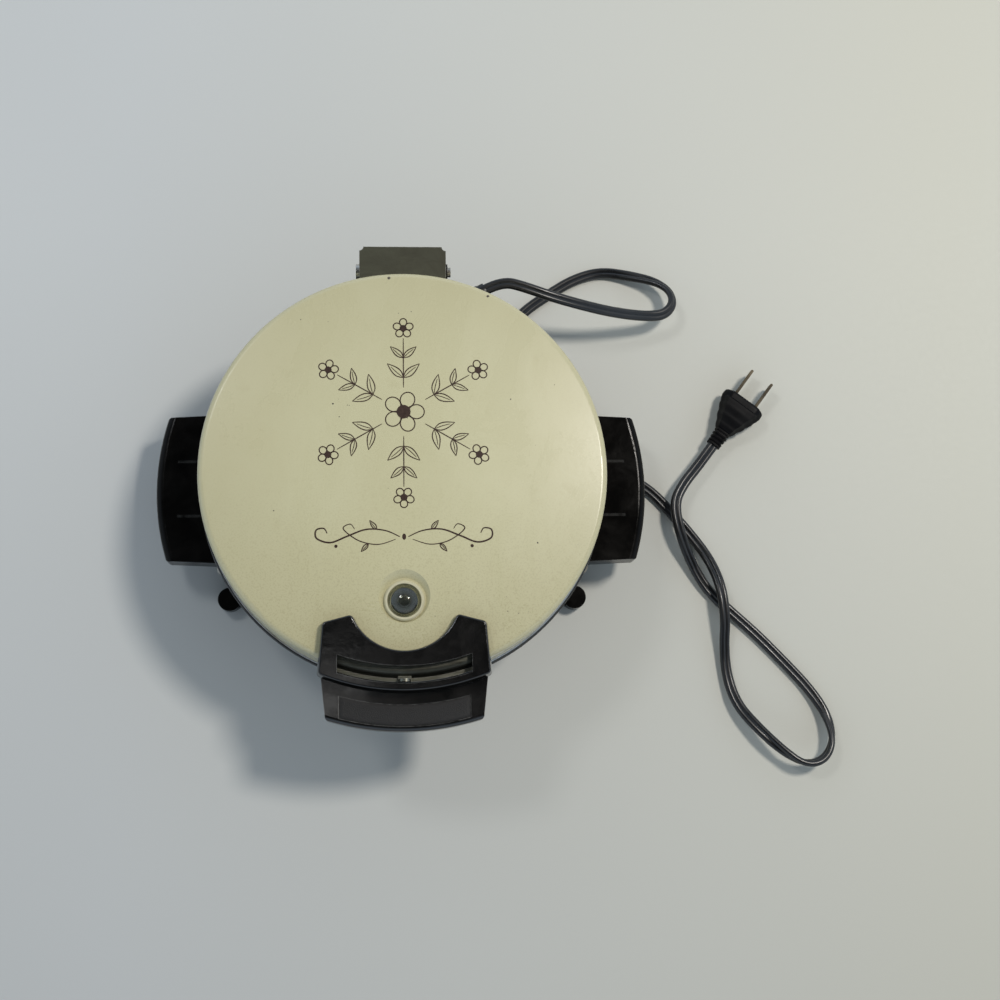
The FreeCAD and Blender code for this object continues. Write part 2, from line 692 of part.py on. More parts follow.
def lid_shell():
    """Pressed dome with a dish for the jewel."""
    outer = lid_solid(0)
    boss = drum(14.8, 80.6, 95, 0, DISH_Y - 0.4).common(outer)
    shell = outer.cut(lid_solid(SHEET)).fuse(boss).removeSplitter()
    rim = Part.Wire(Part.makeCircle(13.5, V(0, DISH_Y, 85.6)))
    floor = Part.Wire(Part.makeCircle(10.4, V(0, JEWEL_Y + 0.4, 82.3)))
    dish = Part.makeLoft([rim, floor], True, True)
    cuts = [dish, drum(LAMP_HOLE_R, 70, 90, 0, JEWEL_Y)]
    for side in (-1, 1):
        cuts.append(drum(1.8, 70, 95, side * BEZEL_SCREW_X, BEZEL_SCREW_Y))
        x = side * GRIP_SCREW_X
        cuts.append(rod(2.1, V(x, -90, GRIP_SCREW_Z), V(x, -105, GRIP_SCREW_Z)))
        x = side * LID_HINGE_SCREW_X
        cuts.append(rod(1.9, V(x, 90, LID_HINGE_SCREW_Z), V(x, 105, LID_HINGE_SCREW_Z)))
    cuts.append(rod(LEAD_HOLE_R + 0.1, V(0, 90, LID_LEAD_Z), V(0, 105, LID_LEAD_Z)))
    return shell.cut(cuts)


def lid_rim():
    low = PART_Z + 0.3
    return turned([
        (97.0, low),
        (LID_RIM_R - 0.8, low),
        (LID_RIM_R, low + 0.8, LID_RIM_R - 0.23, low + 0.23),
        (LID_RIM_R, low + 2.2),
        (LID_RIM_R - 0.8, LID_SKIRT_Z - 0.1, LID_RIM_R - 0.23, low + 2.77),
        (97.9, LID_SKIRT_Z - 0.1),
        (97.9, 55.9),
        (90.5, 55.9),
        (90.5, 55.2),
        (97.0, 55.2),
    ]).cut([drum(1.8, 50, 60, p.x, -p.y) for p in grid_screw_points()])


def cap_middle(radius, rim_z, top_z):
    """Middle of the arc from a spherical cap's rim to its top on the axis."""
    height = top_z - rim_z
    ball = (radius ** 2 + height ** 2) / (2 * height)
    half = math.asin(min(1.0, radius / ball)) / 2
    return ball * math.sin(half), top_z - ball + ball * math.cos(half)


def jewel_lens():
    rim_z = 83.4
    top_z = 88.2
    wall = 1.3
    lens = turned([
        (7.8 - wall, 82.4),
        (7.8, 82.4),
        (7.8, rim_z),
        (0, top_z, *cap_middle(7.8, rim_z, top_z)),
        (0, top_z - wall),
        (7.8 - wall, rim_z, *cap_middle(7.8 - wall, rim_z, top_z - wall)),
    ])
    return lens.translated(V(0, JEWEL_Y, 0))


def jewel_retainer():
    ring = turned([(8.1, 82.4), (9.7, 82.4), (9.7, 83.2), (9.0, 84.0), (8.1, 84.0)])
    return ring.translated(V(0, JEWEL_Y, 0))


def signal_lamp():
    radius = 2.4
    rim_z = 83.2
    top_z = rim_z + radius
    foot_z = 79.0
    glass = turned([
        (0, foot_z),
        (radius, foot_z),
        (radius, rim_z),
        (0, top_z, *cap_middle(radius, rim_z, top_z)),
    ])
    return glass.translated(V(0, JEWEL_Y, 0))


def lamp_holder():
    return drum(9.0, 78.9, 80.4, 0, JEWEL_Y).cut(drum(2.5, 70, 90, 0, JEWEL_Y))


def bezel_wire(grow, z):
    """U-shaped outline of the front bezel, grown outwards."""
    notch = NOTCH_R - grow
    ear_angle = math.radians(-20.3)
    ear_in = (notch * math.cos(ear_angle), NOTCH_Y + notch * math.sin(ear_angle))
    ear_out = (38.6 + grow, -73.9 + grow)
    outer = BEZEL_R + grow
    corner_x = 40.6 + grow
    corner = (corner_x, -math.sqrt(outer ** 2 - corner_x ** 2))
    outline = [
        (-ear_out[0], ear_out[1]),
        (-corner[0], corner[1]),
        (corner[0], corner[1], 0, -outer),
        (ear_out[0], ear_out[1]),
        (ear_in[0], ear_in[1]),
        (-ear_in[0], ear_in[1], 0, NOTCH_Y - notch),
    ]
    return closed_wire(outline, lambda x, y: V(x, y, z))


def front_handle_bezel():
    """Phenolic bezel with drafted sides and a curved air slot along its front."""
    draft = 1.0
    body = Part.makeLoft([bezel_wire(draft, BEZEL_UNDER_Z), bezel_wire(0, BEZEL_TOP_Z)], True, True)
    corners = [e for e in body.Edges if 5 < e.Length < 12 and abs(e.tangentAt(e.FirstParameter).z) > 0.7]
    body = body.makeFillet(2.2, corners)
    top_edges = [e for e in body.Edges if all(abs(v.Point.z - BEZEL_TOP_Z) < 0.01 for v in e.Vertexes)]
    body = body.makeFillet(1.0, top_edges)
    slot = pipe_ring(102.7, 94.5, 70, 95).common(box(-31.8, 31.8, -120, 0, 60, 100))
    pocket = pipe_ring(103.4, 90.6, 70, 84.4).common(box(-34.8, 34.8, -120, 0, 60, 100))
    holes = [drum(1.65, 70, 86.2, side * BEZEL_SCREW_X, BEZEL_SCREW_Y) for side in (-1, 1)]
    return body.cut([lid_solid(-0.15), slot, pocket] + holes)


def front_handle_bracket():
    """Steel strap formed over the lid's shoulder; its lip and small tab show in the bezel's slot."""
    strap = lid_solid(-0.2 - SHEET).cut(lid_solid(-0.2))
    strap = strap.common(pipe_ring(110, 91.2, 60, 90)).common(box(-33, 33, -120, 0, 66, 90))
    strap = strap.cut([rod(2.1, V(x, -90, GRIP_SCREW_Z), V(x, -112, GRIP_SCREW_Z))
                       for x in (-GRIP_SCREW_X, GRIP_SCREW_X)])
    tab_base = box(-3.1, 3.1, -101.6, -98.6, 76.6, 82.2)
    tab_top = rod(3.1, V(0, -101.6, 82.2), V(0, -100.4, 82.2))
    tab = tab_base.cut(lid_solid(-0.2)).fuse(tab_top)
    lip = pipe_ring(101.7, 98.5, 79.6, 80.8).common(box(-33, 33, -120, 0, 66, 90)).cut(lid_solid(-0.2))
    return strap.fuse([tab, lip]).removeSplitter()


def front_handle_grip():
    """Hollow phenolic grip under the bezel, with a recessed panel on top."""
    soft = 2.4
    bend = soft * (1 - math.sqrt(0.5))
    bottom = 64.6
    inner = 101.9
    body = turned([
        (inner, bottom),
        (inner, GRIP_TOP_Z),
        (GRIP_R - soft, GRIP_TOP_Z),
        (GRIP_R, GRIP_TOP_Z - soft, GRIP_R - bend, GRIP_TOP_Z - bend),
        (GRIP_R, bottom + 1.2),
        (GRIP_R - 1.2, bottom, GRIP_R - 0.35, bottom + 0.35),
    ])
    body = body.common(plan_prism([
        (-40.4, -92),
        (-37.7, -117),
        (-35.2, -119.95, -37.1, -119.0),
        (-34, -130),
        (34, -130),
        (35.2, -119.95),
        (37.7, -117, 37.1, -119.0),
        (40.4, -92),
    ], 50, 100))
    hollow = pipe_ring(GRIP_R - 4.0, 106.8, 50, 72.4).common(box(-34, 34, -130, 0, 40, 100))
    panel = pipe_ring(GRIP_R - 2.5, 112.4, GRIP_TOP_Z - 0.5, 100).common(box(-31.2, 31.2, -130, 0, 60, 100))
    holes = [rod(1.95, V(s * GRIP_SCREW_X, -95, GRIP_SCREW_Z), V(s * GRIP_SCREW_X, -113, GRIP_SCREW_Z))
             for s in (-1, 1)]
    return body.cut([hollow, panel] + holes)


def grip_screws():
    return [screw(V(x, -92.8, GRIP_SCREW_Z), V(x, -112, GRIP_SCREW_Z), 1.9, 2.9, 1.8)
            for x in (-GRIP_SCREW_X, GRIP_SCREW_X)]


def bezel_screws():
    return [screw(V(x, BEZEL_SCREW_Y, 80.9), V(x, BEZEL_SCREW_Y, 86.0), 1.6, 2.8, 1.6)
            for x in (-BEZEL_SCREW_X, BEZEL_SCREW_X)]


def lid_hinge_bracket():
    """Folded steel cover plate over the hinge, with a side cheek at each end of the pin."""
    seat_r = LID_SKIRT_R
    top = 70.0
    back = BRACKET_BACK_Y
    clear = drum(seat_r, 0, 100)
    plate = box(-BRACKET_X, BRACKET_X, 94, back, top - SHEET, top).cut(clear)
    front = pipe_ring(seat_r + SHEET, seat_r, 58.5, top).common(box(-15, 15, 80, 120, 0, 100))
    rear = box(-19.2, 19.2, back - SHEET, back, 64.0, top)
    boss = 5.0
    cheek = [
        (back, 60.0),
        (back, top),
        (99.5, top),
        (99.5, 66.0),
        (PIN_Y - boss, PIN_Z + 2.0),
        (PIN_Y - boss, PIN_Z),
        (PIN_Y + boss, PIN_Z, PIN_Y, PIN_Z - boss),
    ]
    cheeks = [side_plate(cheek, x, x + SHEET).cut(clear) for x in (-BRACKET_X, BRACKET_X - SHEET)]
    shape = plate.fuse([front, rear] + cheeks).removeSplitter()
    cuts = [rod(PIN_R + RUNNING_GAP, V(-30, PIN_Y, PIN_Z), V(30, PIN_Y, PIN_Z))]
    for side in (-1, 1):
        cuts.append(drum(2.0, 50, 80, side * BRACKET_X, back))
        x = side * LID_HINGE_SCREW_X
        cuts.append(rod(1.9, V(x, 90, LID_HINGE_SCREW_Z), V(x, 110, LID_HINGE_SCREW_Z)))
    cuts.append(rod(LEAD_HOLE_R + 1.6, V(0, 90, LID_LEAD_Z), V(0, 110, LID_LEAD_Z)))
    return shape.cut(cuts)


def lid_hinge_screws():
    seat_y = LID_SKIRT_R + SHEET + 0.1
    return [screw(V(x, seat_y, LID_HINGE_SCREW_Z), V(x, 92, LID_HINGE_SCREW_Z), 1.8, 2.9, 1.8)
            for x in (-LID_HINGE_SCREW_X, LID_HINGE_SCREW_X)]


# ---- all pieces ---------------------------------------------------------------------------
os.makedirs("parts", exist_ok=True)

save("base_shell", base_shell())
save("base_ring", base_ring())
save("bottom_cover", bottom_cover())
save("bottom_cover_screws", *[
    screw(V(p.x, p.y, SHELL_BOTTOM_Z - SHEET - 0.15), V(p.x, p.y, 18.5), 1.6, 3.0, 1.2)
    for p in cover_screw_points()
])
for foot_name, foot_angle in foot_angles().items():
    save(foot_name, foot(foot_angle))
save("foot_screws", *[
    screw(V(p.x, p.y, 4.45), V(p.x, p.y, 18.0), 2.0, 3.8, 1.8)
    for p in (polar(FOOT_R, a) for a in foot_angles().values())
])
save("right_handle", side_handle())
save("left_handle", mirrored(side_handle()))
save("right_handle_bracket", handle_bracket())
save("left_handle_bracket", mirrored(handle_bracket()))
save("side_handle_screws", *handle_screws())
save("handle_bracket_rivets", *bracket_rivets())
save("hinge_base_bracket", hinge_base_bracket())
save("hinge_base_screws", *hinge_base_screws())
save("base_lead_grommet", lead_grommet(SHELL_R - SHEET, SHELL_R + 0.15 + SHEET, BASE_LEAD_Z))

grid = waffle_grid()
save("lower_grid", grid.translated(V(0, 0, PART_Z)))
save("lower_grid_screws", *[s.translated(V(0, 0, PART_Z)) for s in grid_screws()])
save("lower_heating_element", heating_element(LOWER_ELEMENT, 33.0).translated(V(0, 0, PART_Z)))
save("lower_element_clips", *[
    s.translated(V(0, 0, PART_Z)) for s in element_clips(LOWER_ELEMENT, LOWER_REFLECTOR - 0.85)
])
save("lower_reflector", reflector(88.0, LOWER_REFLECTOR, 11.0, 3.2).translated(V(0, 0, PART_Z)))
save("thermostat", thermostat())
save("terminal_block", terminal_block())
save("supply_leads", *supply_leads())

save("cord_strain_relief", strain_relief())
cord, cord_length, cord_radii = tube(CORD_ROUTE, CORD_R)
save("power_cord", cord)
save("plug_body", plug_body())
save("plug_blades", *[at_plug(blade(y)) for y in BLADE_SIDES])

save("hinge_pin", hinge_pin())
save("hinge_pin_clip", hinge_pin_clip())

save("lid_shell", lid_shell())
save("lid_rim", lid_rim())
save("upper_grid", upper(grid))
save("upper_grid_screws", *[upper(s) for s in grid_screws()])
save("upper_heating_element", upper(heating_element(UPPER_ELEMENT, 25.0)))
save("upper_element_clips", *[upper(s) for s in element_clips(UPPER_ELEMENT, UPPER_REFLECTOR - 0.85)])
save("upper_reflector", upper(reflector(85.0, UPPER_REFLECTOR, 8.0, 3.2)))
save("jewel_lens", jewel_lens())
save("jewel_retainer", jewel_retainer())
save("signal_lamp", signal_lamp())
save("lamp_holder", lamp_holder())
save("front_handle_bezel", front_handle_bezel())
save("front_handle_bracket", front_handle_bracket())
save("front_handle_grip", front_handle_grip())
save("grip_screws", *grip_screws())
save("bezel_screws", *bezel_screws())
save("lid_hinge_bracket", lid_hinge_bracket())
save("lid_hinge_screws", *lid_hinge_screws())
save("lid_lead_grommet", lead_grommet(LID_SKIRT_R - SHEET - 0.6, LID_SKIRT_R + SHEET + 0.1, LID_LEAD_Z))

section = math.pi * CORD_R ** 2
print("cord length", round(cord_length, 1))
print("cord volume / (section x length)", round(cord.Volume / (section * cord_length), 4))
print("cord radii", " ".join(str(round(r, 1)) for r in cord_radii))
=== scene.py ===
"""Looks for the round waffle maker: enamelled lid with a printed rosette, black phenolic handles, black base
and a flat twin cord. Metres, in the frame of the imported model."""
import math

import bmesh
import bpy
from mathutils import Matrix, Vector


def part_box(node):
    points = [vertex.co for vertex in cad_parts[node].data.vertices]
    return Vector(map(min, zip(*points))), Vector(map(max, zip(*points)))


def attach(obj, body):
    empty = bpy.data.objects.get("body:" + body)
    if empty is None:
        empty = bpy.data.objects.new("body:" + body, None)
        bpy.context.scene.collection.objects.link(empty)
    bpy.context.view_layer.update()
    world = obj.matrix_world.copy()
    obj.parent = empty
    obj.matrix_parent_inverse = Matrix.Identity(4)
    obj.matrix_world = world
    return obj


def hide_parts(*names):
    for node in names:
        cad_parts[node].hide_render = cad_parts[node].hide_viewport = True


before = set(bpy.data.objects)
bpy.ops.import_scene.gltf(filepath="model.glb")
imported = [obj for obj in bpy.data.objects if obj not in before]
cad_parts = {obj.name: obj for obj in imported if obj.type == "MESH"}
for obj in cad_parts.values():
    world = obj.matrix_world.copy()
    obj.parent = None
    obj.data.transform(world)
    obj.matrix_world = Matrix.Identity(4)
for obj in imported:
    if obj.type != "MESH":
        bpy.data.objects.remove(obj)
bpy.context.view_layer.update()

MM = 0.001
UP = Vector((0, 0, 1))
LID_LOW, LID_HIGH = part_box("lid_shell")
AXIS_Y = (LID_LOW.y + LID_HIGH.y) / 2      # the body is turned about a vertical axis at x = 0
LID_TOP = LID_HIGH.z
CROWN_R = 1.2                              # radius of the lid's crown


# ---- camera -------------------------------------------------------------------------------
CAMERA_PLACE = (-0.0071, -0.1485, 0.8876)
CAMERA_TURN = (9.735, -3.736, -0.178)      # degrees about x, y and z, the z turn first
CAMERA_LENS = 61.13                        # with a 36 mm sensor


def make_camera():
    data = bpy.data.cameras.new("camera")
    data.sensor_width = 36
    data.lens = CAMERA_LENS
    camera = bpy.data.objects.new("camera", data)
    camera.location = CAMERA_PLACE
    camera.rotation_mode = "ZYX"
    camera.rotation_euler = [math.radians(a) for a in CAMERA_TURN]
    bpy.context.scene.collection.objects.link(camera)
    bpy.context.scene.camera = camera


# ---- building blocks ----------------------------------------------------------------------
def add_piece(name, bm, body, material, smooth=True):
    """Turns a bmesh into a piece that rides on a body."""
    bmesh.ops.recalc_face_normals(bm, faces=bm.faces)
    mesh = bpy.data.meshes.new(name)
    bm.to_mesh(mesh)
    bm.free()
    for polygon in mesh.polygons:
        polygon.use_smooth = smooth
    mesh.materials.append(material)
    piece = bpy.data.objects.new(name, mesh)
    bpy.context.scene.collection.objects.link(piece)
    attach(piece, body)
    return piece


def loft(bm, rings):
    """Closed tube through rings of equally many points, capped at both ends."""
    made = [[bm.verts.new(point) for point in ring] for ring in rings]
    count = len(made[0])
    for near, far in zip(made, made[1:]):
        for i in range(count):
            j = (i + 1) % count
            bm.faces.new((near[i], near[j], far[j], far[i]))
    bm.faces.new(reversed(made[0]))
    bm.faces.new(made[-1])


def smooth_step(value, low, high):
    share = min(1.0, max(0.0, (value - low) / (high - low)))
    return share * share * (3 - 2 * share)


def split_sharp(piece, degrees=35):
    """Smooth shading that breaks at sharp edges."""
    for polygon in piece.data.polygons:
        polygon.use_smooth = True
    bm = bmesh.new()
    bm.from_mesh(piece.data)
    for edge in bm.edges:
        sharp = len(edge.link_faces) != 2 or edge.calc_face_angle() > math.radians(degrees)
        edge.smooth = not sharp
    bm.to_mesh(piece.data)
    bm.free()


# ---- materials ----------------------------------------------------------------------------
SOCKETS = {
    "colour": "Base Color",
    "metal": "Metallic",
    "rough": "Roughness",
    "coat": "Coat Weight",
    "coat_rough": "Coat Roughness",
    "ior": "IOR",
    "glass": "Transmission Weight",
    "specular": "Specular IOR Level",
    "normal": "Normal",
}


class Shader:
    """A material in the making: a Principled shader and short names for what feeds it."""

    def __init__(self, name, **values):
        self.material = bpy.data.materials.new(name)
        self.material.use_nodes = True
        self.tree = self.material.node_tree
        self.bsdf = self.tree.nodes["Principled BSDF"]
        self.place = self.tree.nodes.new("ShaderNodeTexCoord").outputs["Object"]
        self.feed(**values)

    def feed(self, **values):
        for name, value in values.items():
            self.give(self.bsdf.inputs[SOCKETS[name]], value)

    def give(self, socket, value):
        if isinstance(value, bpy.types.NodeSocket):
            self.tree.links.new(value, socket)
        elif socket.type == "RGBA" and len(value) == 3:
            socket.default_value = (*value, 1)
        else:
            socket.default_value = value

    def add(self, kind, out=0, settings=(), **inputs):
        node = self.tree.nodes.new(kind)
        for key, value in dict(settings).items():
            setattr(node, key, value)
        for key, value in inputs.items():
            index = int(key[1:]) if key[0] == "i" and key[1:].isdigit() else key
            self.give(node.inputs[index], value)
        return node.outputs[out]

    def stretched(self, x, y, z):
        settings = {"operation": "MULTIPLY"}
        return self.add("ShaderNodeVectorMath", settings=settings, i0=self.place, i1=(x, y, z))

    def axis(self, index):
        """The x, y or z of the place on the piece."""
        return self.add("ShaderNodeSeparateXYZ", out=index, Vector=self.place)

    def noise(self, scale, detail=3.0, rough=0.5, where=None, distortion=0.0):
        return self.add("ShaderNodeTexNoise", Vector=where or self.place, Scale=scale, Detail=detail,
                        Roughness=rough, Distortion=distortion)

    def cells(self, scale, where=None):
        return self.add("ShaderNodeTexVoronoi", Vector=where or self.place, Scale=scale)

    def span(self, value, low, high, to_low=0.0, to_high=1.0):
        return self.add("ShaderNodeMapRange", i0=value, i1=low, i2=high, i3=to_low, i4=to_high)

    def sum(self, a, b, kind="ADD"):
        return self.add("ShaderNodeMath", settings={"operation": kind}, i0=a, i1=b)

    def mix(self, share, a, b):
        return self.add("ShaderNodeMix", out=2, settings={"data_type": "RGBA"}, i0=share, i6=a, i7=b)

    def bump(self, height, distance, strength=1.0, normal=None):
        more = {"Normal": normal} if normal else {}
        return self.add("ShaderNodeBump", Height=height, Distance=distance, Strength=strength, **more)

    def edges(self, radius, low=0.02, high=0.25):
        """1 on edges tighter than about radius, 0 on flats."""
        bevel = self.add("ShaderNodeBevel", settings={"samples": 4}, Radius=radius)
        true = self.tree.nodes.new("ShaderNodeNewGeometry").outputs["Normal"]
        settings = {"operation": "DOT_PRODUCT"}
        match = self.add("ShaderNodeVectorMath", out=1, settings=settings, i0=bevel, i1=true)
        return self.span(match, 1 - high, 1 - low, 1.0, 0.0)

    def gap(self, x, y):
        """Distance from the vertical line through (x, y)."""
        settings = {"operation": "DISTANCE"}
        flat = self.stretched(1, 1, 0)
        return self.add("ShaderNodeVectorMath", out=1, settings=settings, i0=flat, i1=(x, y, 0))

    def near(self, x, y, radius, ragged):
        """1 within radius of the vertical line through (x, y), with a ragged edge."""
        reach = self.sum(self.gap(x, y), self.sum(ragged, radius, "MULTIPLY"))
        return self.span(reach, radius * 1.15, radius * 1.6, 1.0, 0.0)


# Each chip's x, y and radius in millimetres about the body's axis.
ENAMEL_CHIPS = [
    (-6.9, 96.0, 0.8),
    (41.7, 87.0, 0.75),
    (-34.0, 32.0, 0.5),
    (-31.0, 25.5, 0.3),
    (52.0, 34.5, 0.35),
    (64.0, -36.0, 0.45),
    (-62.0, -20.0, 0.35),
]


def enamel():
    """Cream enamel, a little orange-peeled, yellowed and rubbed, with a few chips and painted shade towards
    the rim.
    """
    s = Shader("lid_enamel", coat=0.6, coat_rough=0.30, specular=0.45)
    cloud = s.noise(9, 4)
    grime = s.noise(70, 5, 0.62)
    colour = s.mix(s.span(cloud, 0.3, 0.72), (0.545, 0.50, 0.295), (0.59, 0.555, 0.35))
    colour = s.mix(s.span(grime, 0.60, 0.80, 0.0, 0.35), colour, (0.43, 0.38, 0.20))
    # Darker towards the rim: painted shade of the lid's edge.
    colour = s.mix(s.span(s.gap(0, AXIS_Y), 0.045, 0.10, 0.0, 0.42), colour, (0.43, 0.385, 0.225))
    grit = s.sum(s.span(s.noise(1300, 2), 0.50, 0.64), s.span(s.axis(1), -0.10, 0.0, 0.55, 0.08), "MULTIPLY")
    colour = s.mix(grit, colour, (0.36, 0.31, 0.17))
    specks = s.span(s.cells(260), 0.045, 0.075, 1.0, 0.0)
    rare = s.span(s.noise(55, 1), 0.62, 0.66)
    specks = s.sum(specks, rare, "MULTIPLY")
    ragged = s.noise(1400, 2)
    chips = specks
    for x, y, radius in ENAMEL_CHIPS:
        chips = s.sum(chips, s.near(x * MM, y * MM + AXIS_Y, radius * MM, ragged), "MAXIMUM")
    colour = s.mix(chips, colour, (0.045, 0.032, 0.022))
    rubbed = s.noise(28, 6, 0.7, s.stretched(1, 0.55, 1), 0.6)
    rough = s.sum(s.span(rubbed, 0.42, 0.72, 0.26, 0.46), s.span(chips, 0, 1, 0, 0.4))
    peel = s.bump(s.noise(420, 2), 0.00006, 0.35)
    s.feed(colour=colour, rough=rough, normal=s.bump(chips, -0.00012, 0.8, peel))
    return s.material


def ink():
    """Brown print on the enamel."""
    s = Shader("lid_print", specular=0.25)
    worn = s.noise(900, 3)
    colour = s.mix(s.span(worn, 0.35, 0.75), (0.030, 0.014, 0.009), (0.052, 0.027, 0.018))
    s.feed(colour=colour, rough=s.span(worn, 0.3, 0.7, 0.42, 0.6), normal=s.bump(worn, 0.00002, 0.3))
    return s.material


def phenolic(name="phenolic", coat=0.25, specular=0.5, rubbed=0.6):
    """Moulded black phenolic: faintly brown and mottled, its edges lightened partly by rubbing and partly as
    painted highlight.
    """
    s = Shader(name, coat=coat, coat_rough=0.05, specular=specular)
    blotch = s.noise(60, 6, 0.65, distortion=0.4)
    fine = s.noise(1600, 3, 0.6)
    colour = s.mix(s.span(blotch, 0.35, 0.75), (0.0026, 0.0024, 0.0022), (0.0075, 0.0066, 0.0058))
    # Lightened edges: partly rubbed wear, partly a painted highlight where the edges catch the light.
    worn = s.sum(s.edges(0.0006), s.span(s.noise(300, 4), 0.25, 0.55), "MULTIPLY")
    colour = s.mix(s.span(worn, 0, 1, 0, rubbed), colour, (0.24, 0.235, 0.22))
    dust = s.span(s.noise(2600, 2), 0.66, 0.74, 0.0, rubbed / 3)
    colour = s.mix(dust, colour, (0.05, 0.045, 0.04))
    rough = s.sum(s.span(blotch, 0.4, 0.7, 0.08, 0.24), s.span(fine, 0.3, 0.8, 0.0, 0.05))
    flow = s.bump(s.noise(140, 2), 0.00025, 0.25)
    s.feed(colour=colour, rough=rough, normal=s.bump(fine, 0.00002, 0.35, flow))
    return s.material


def stippled():
    """Finely sparked finish of the panel let into the grip."""
    s = Shader("stippled_phenolic", coat=0.0, specular=0.45)
    grain = s.cells(2300)
    fine = s.noise(2500, 3, 0.6)
    colour = s.mix(s.span(fine, 0.35, 0.75), (0.0035, 0.0030, 0.0028), (0.0125, 0.0105, 0.0090))
    height = s.sum(s.span(grain, 0.0, 0.6), fine)
    s.feed(colour=colour, rough=s.span(fine, 0.3, 0.7, 0.5, 0.68), normal=s.bump(height, 0.00012, 0.9))
    return s.material


def bright_steel(name, colour, stained, rough_low, rough_high):
    """Polished or plated sheet with hairlines, haze and stains."""
    s = Shader(name, metal=1.0)
    hair = s.noise(90, 4, 0.6, s.stretched(1, 1, 60))
    haze = s.noise(45, 5, 0.6)
    stain = s.span(s.noise(24, 6, 0.7, distortion=0.8), 0.52, 0.74)
    tint = s.mix(stain, colour, stained)
    rough = s.sum(s.span(haze, 0.35, 0.7, rough_low, rough_high), s.span(hair, 0.3, 0.8, 0.0, 0.08))
    s.feed(colour=tint, rough=rough, normal=s.bump(hair, 0.00003, 0.25))
    return s.material


def dull_steel(name, colour, stained, rough_low=0.38, rough_high=0.58, metal=1.0):
    """Bare bracket steel: rolled grain, dull stains and rubbed edges."""
    s = Shader(name, metal=metal)
    grain = s.noise(140, 5, 0.65, s.stretched(1, 14, 1))
    stain = s.span(s.noise(38, 6, 0.7, distortion=1.0), 0.42, 0.72)
    tint = s.mix(stain, colour, stained)
    pits = s.span(s.cells(700), 0.05, 0.12, 1.0, 0.0)
    pits = s.sum(pits, s.span(s.noise(90, 2), 0.52, 0.62), "MULTIPLY")
    tint = s.mix(s.span(pits, 0, 1, 0, 0.6), tint, (0.03, 0.022, 0.015))
    bare = s.sum(s.edges(0.0005), s.span(s.noise(250, 3), 0.3, 0.6), "MULTIPLY")
    tint = s.mix(s.span(bare, 0, 1, 0, 0.7), tint, (0.55, 0.54, 0.50))
    rough = s.span(grain, 0.3, 0.75, rough_low, rough_high)
    s.feed(colour=tint, rough=rough, normal=s.bump(s.sum(grain, pits, "SUBTRACT"), 0.00005, 0.4))
    return s.material


def cast_metal():
    """Coated cast grid: fine sandy grain, rubbed pegs and baked-on browning."""
    s = Shader("cast_grid", metal=0.75)
    sand = s.noise(1500, 3, 0.6)
    brown = s.span(s.noise(60, 6, 0.7, distortion=0.7), 0.45, 0.75)
    colour = s.mix(brown, (0.17, 0.165, 0.155), (0.085, 0.06, 0.04))
    worn = s.sum(s.edges(0.0009), s.span(s.noise(200, 3), 0.3, 0.6), "MULTIPLY")
    colour = s.mix(s.span(worn, 0, 1, 0, 0.8), colour, (0.46, 0.45, 0.43))
    s.feed(colour=colour, rough=s.span(sand, 0.3, 0.7, 0.36, 0.55), normal=s.bump(sand, 0.00006, 0.5))
    return s.material


def moulded(name, dark, light, rough_low, rough_high, grain=900, depth=0.00004, coat=0.0, metal=0.0,
            specular=0.5):
    """Plain moulded, fired or rubbed stuff with two close colours and a fine grain."""
    s = Shader(name, coat=coat, coat_rough=0.15, metal=metal, specular=specular)
    cloud = s.noise(80, 5, 0.6)
    fine = s.noise(grain, 3, 0.6)
    colour = s.mix(s.span(cloud, 0.35, 0.7), dark, light)
    rough = s.sum(s.span(cloud, 0.35, 0.7, rough_low, rough_high), s.span(fine, 0.3, 0.8, 0.0, 0.06))
    s.feed(colour=colour, rough=rough, normal=s.bump(fine, depth, 0.35))
    return s.material


def clear_glass(name, tint):
    """Clear moulded glass, a little smeared."""
    s = Shader(name, glass=1.0, ior=1.49, specular=0.6)
    smear = s.noise(500, 4, 0.6)
    s.feed(colour=tint, rough=s.span(smear, 0.4, 0.75, 0.01, 0.08), normal=s.bump(smear, 0.00003, 0.2))
    return s.material


def table_top():
    """Pale floor, with painted warm light towards the right and painted shade towards the front."""
    s = Shader("floor", specular=0.3)
    cloud = s.noise(2.2, 3)
    fine = s.noise(400, 2)
    colour = s.mix(s.span(cloud, 0.3, 0.7), (0.565, 0.575, 0.565), (0.595, 0.605, 0.595))
    # Warmer towards the right: painted warm light of the key lamp.
    colour = s.mix(s.span(s.axis(0), -0.15, 0.30), colour, (0.60, 0.585, 0.50))
    # Darker towards the front: painted shade.
    colour = s.mix(s.span(s.axis(1), -0.45, 0.15, 0.33, 0.0), colour, (0.30, 0.295, 0.275))
    s.feed(colour=colour, rough=s.span(fine, 0.3, 0.7, 0.5, 0.6), normal=s.bump(fine, 0.00002, 0.2))
    return s.material


def finish_nodes(material, *nodes):
    for node in nodes:
        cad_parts[node].material_slots[0].material = material


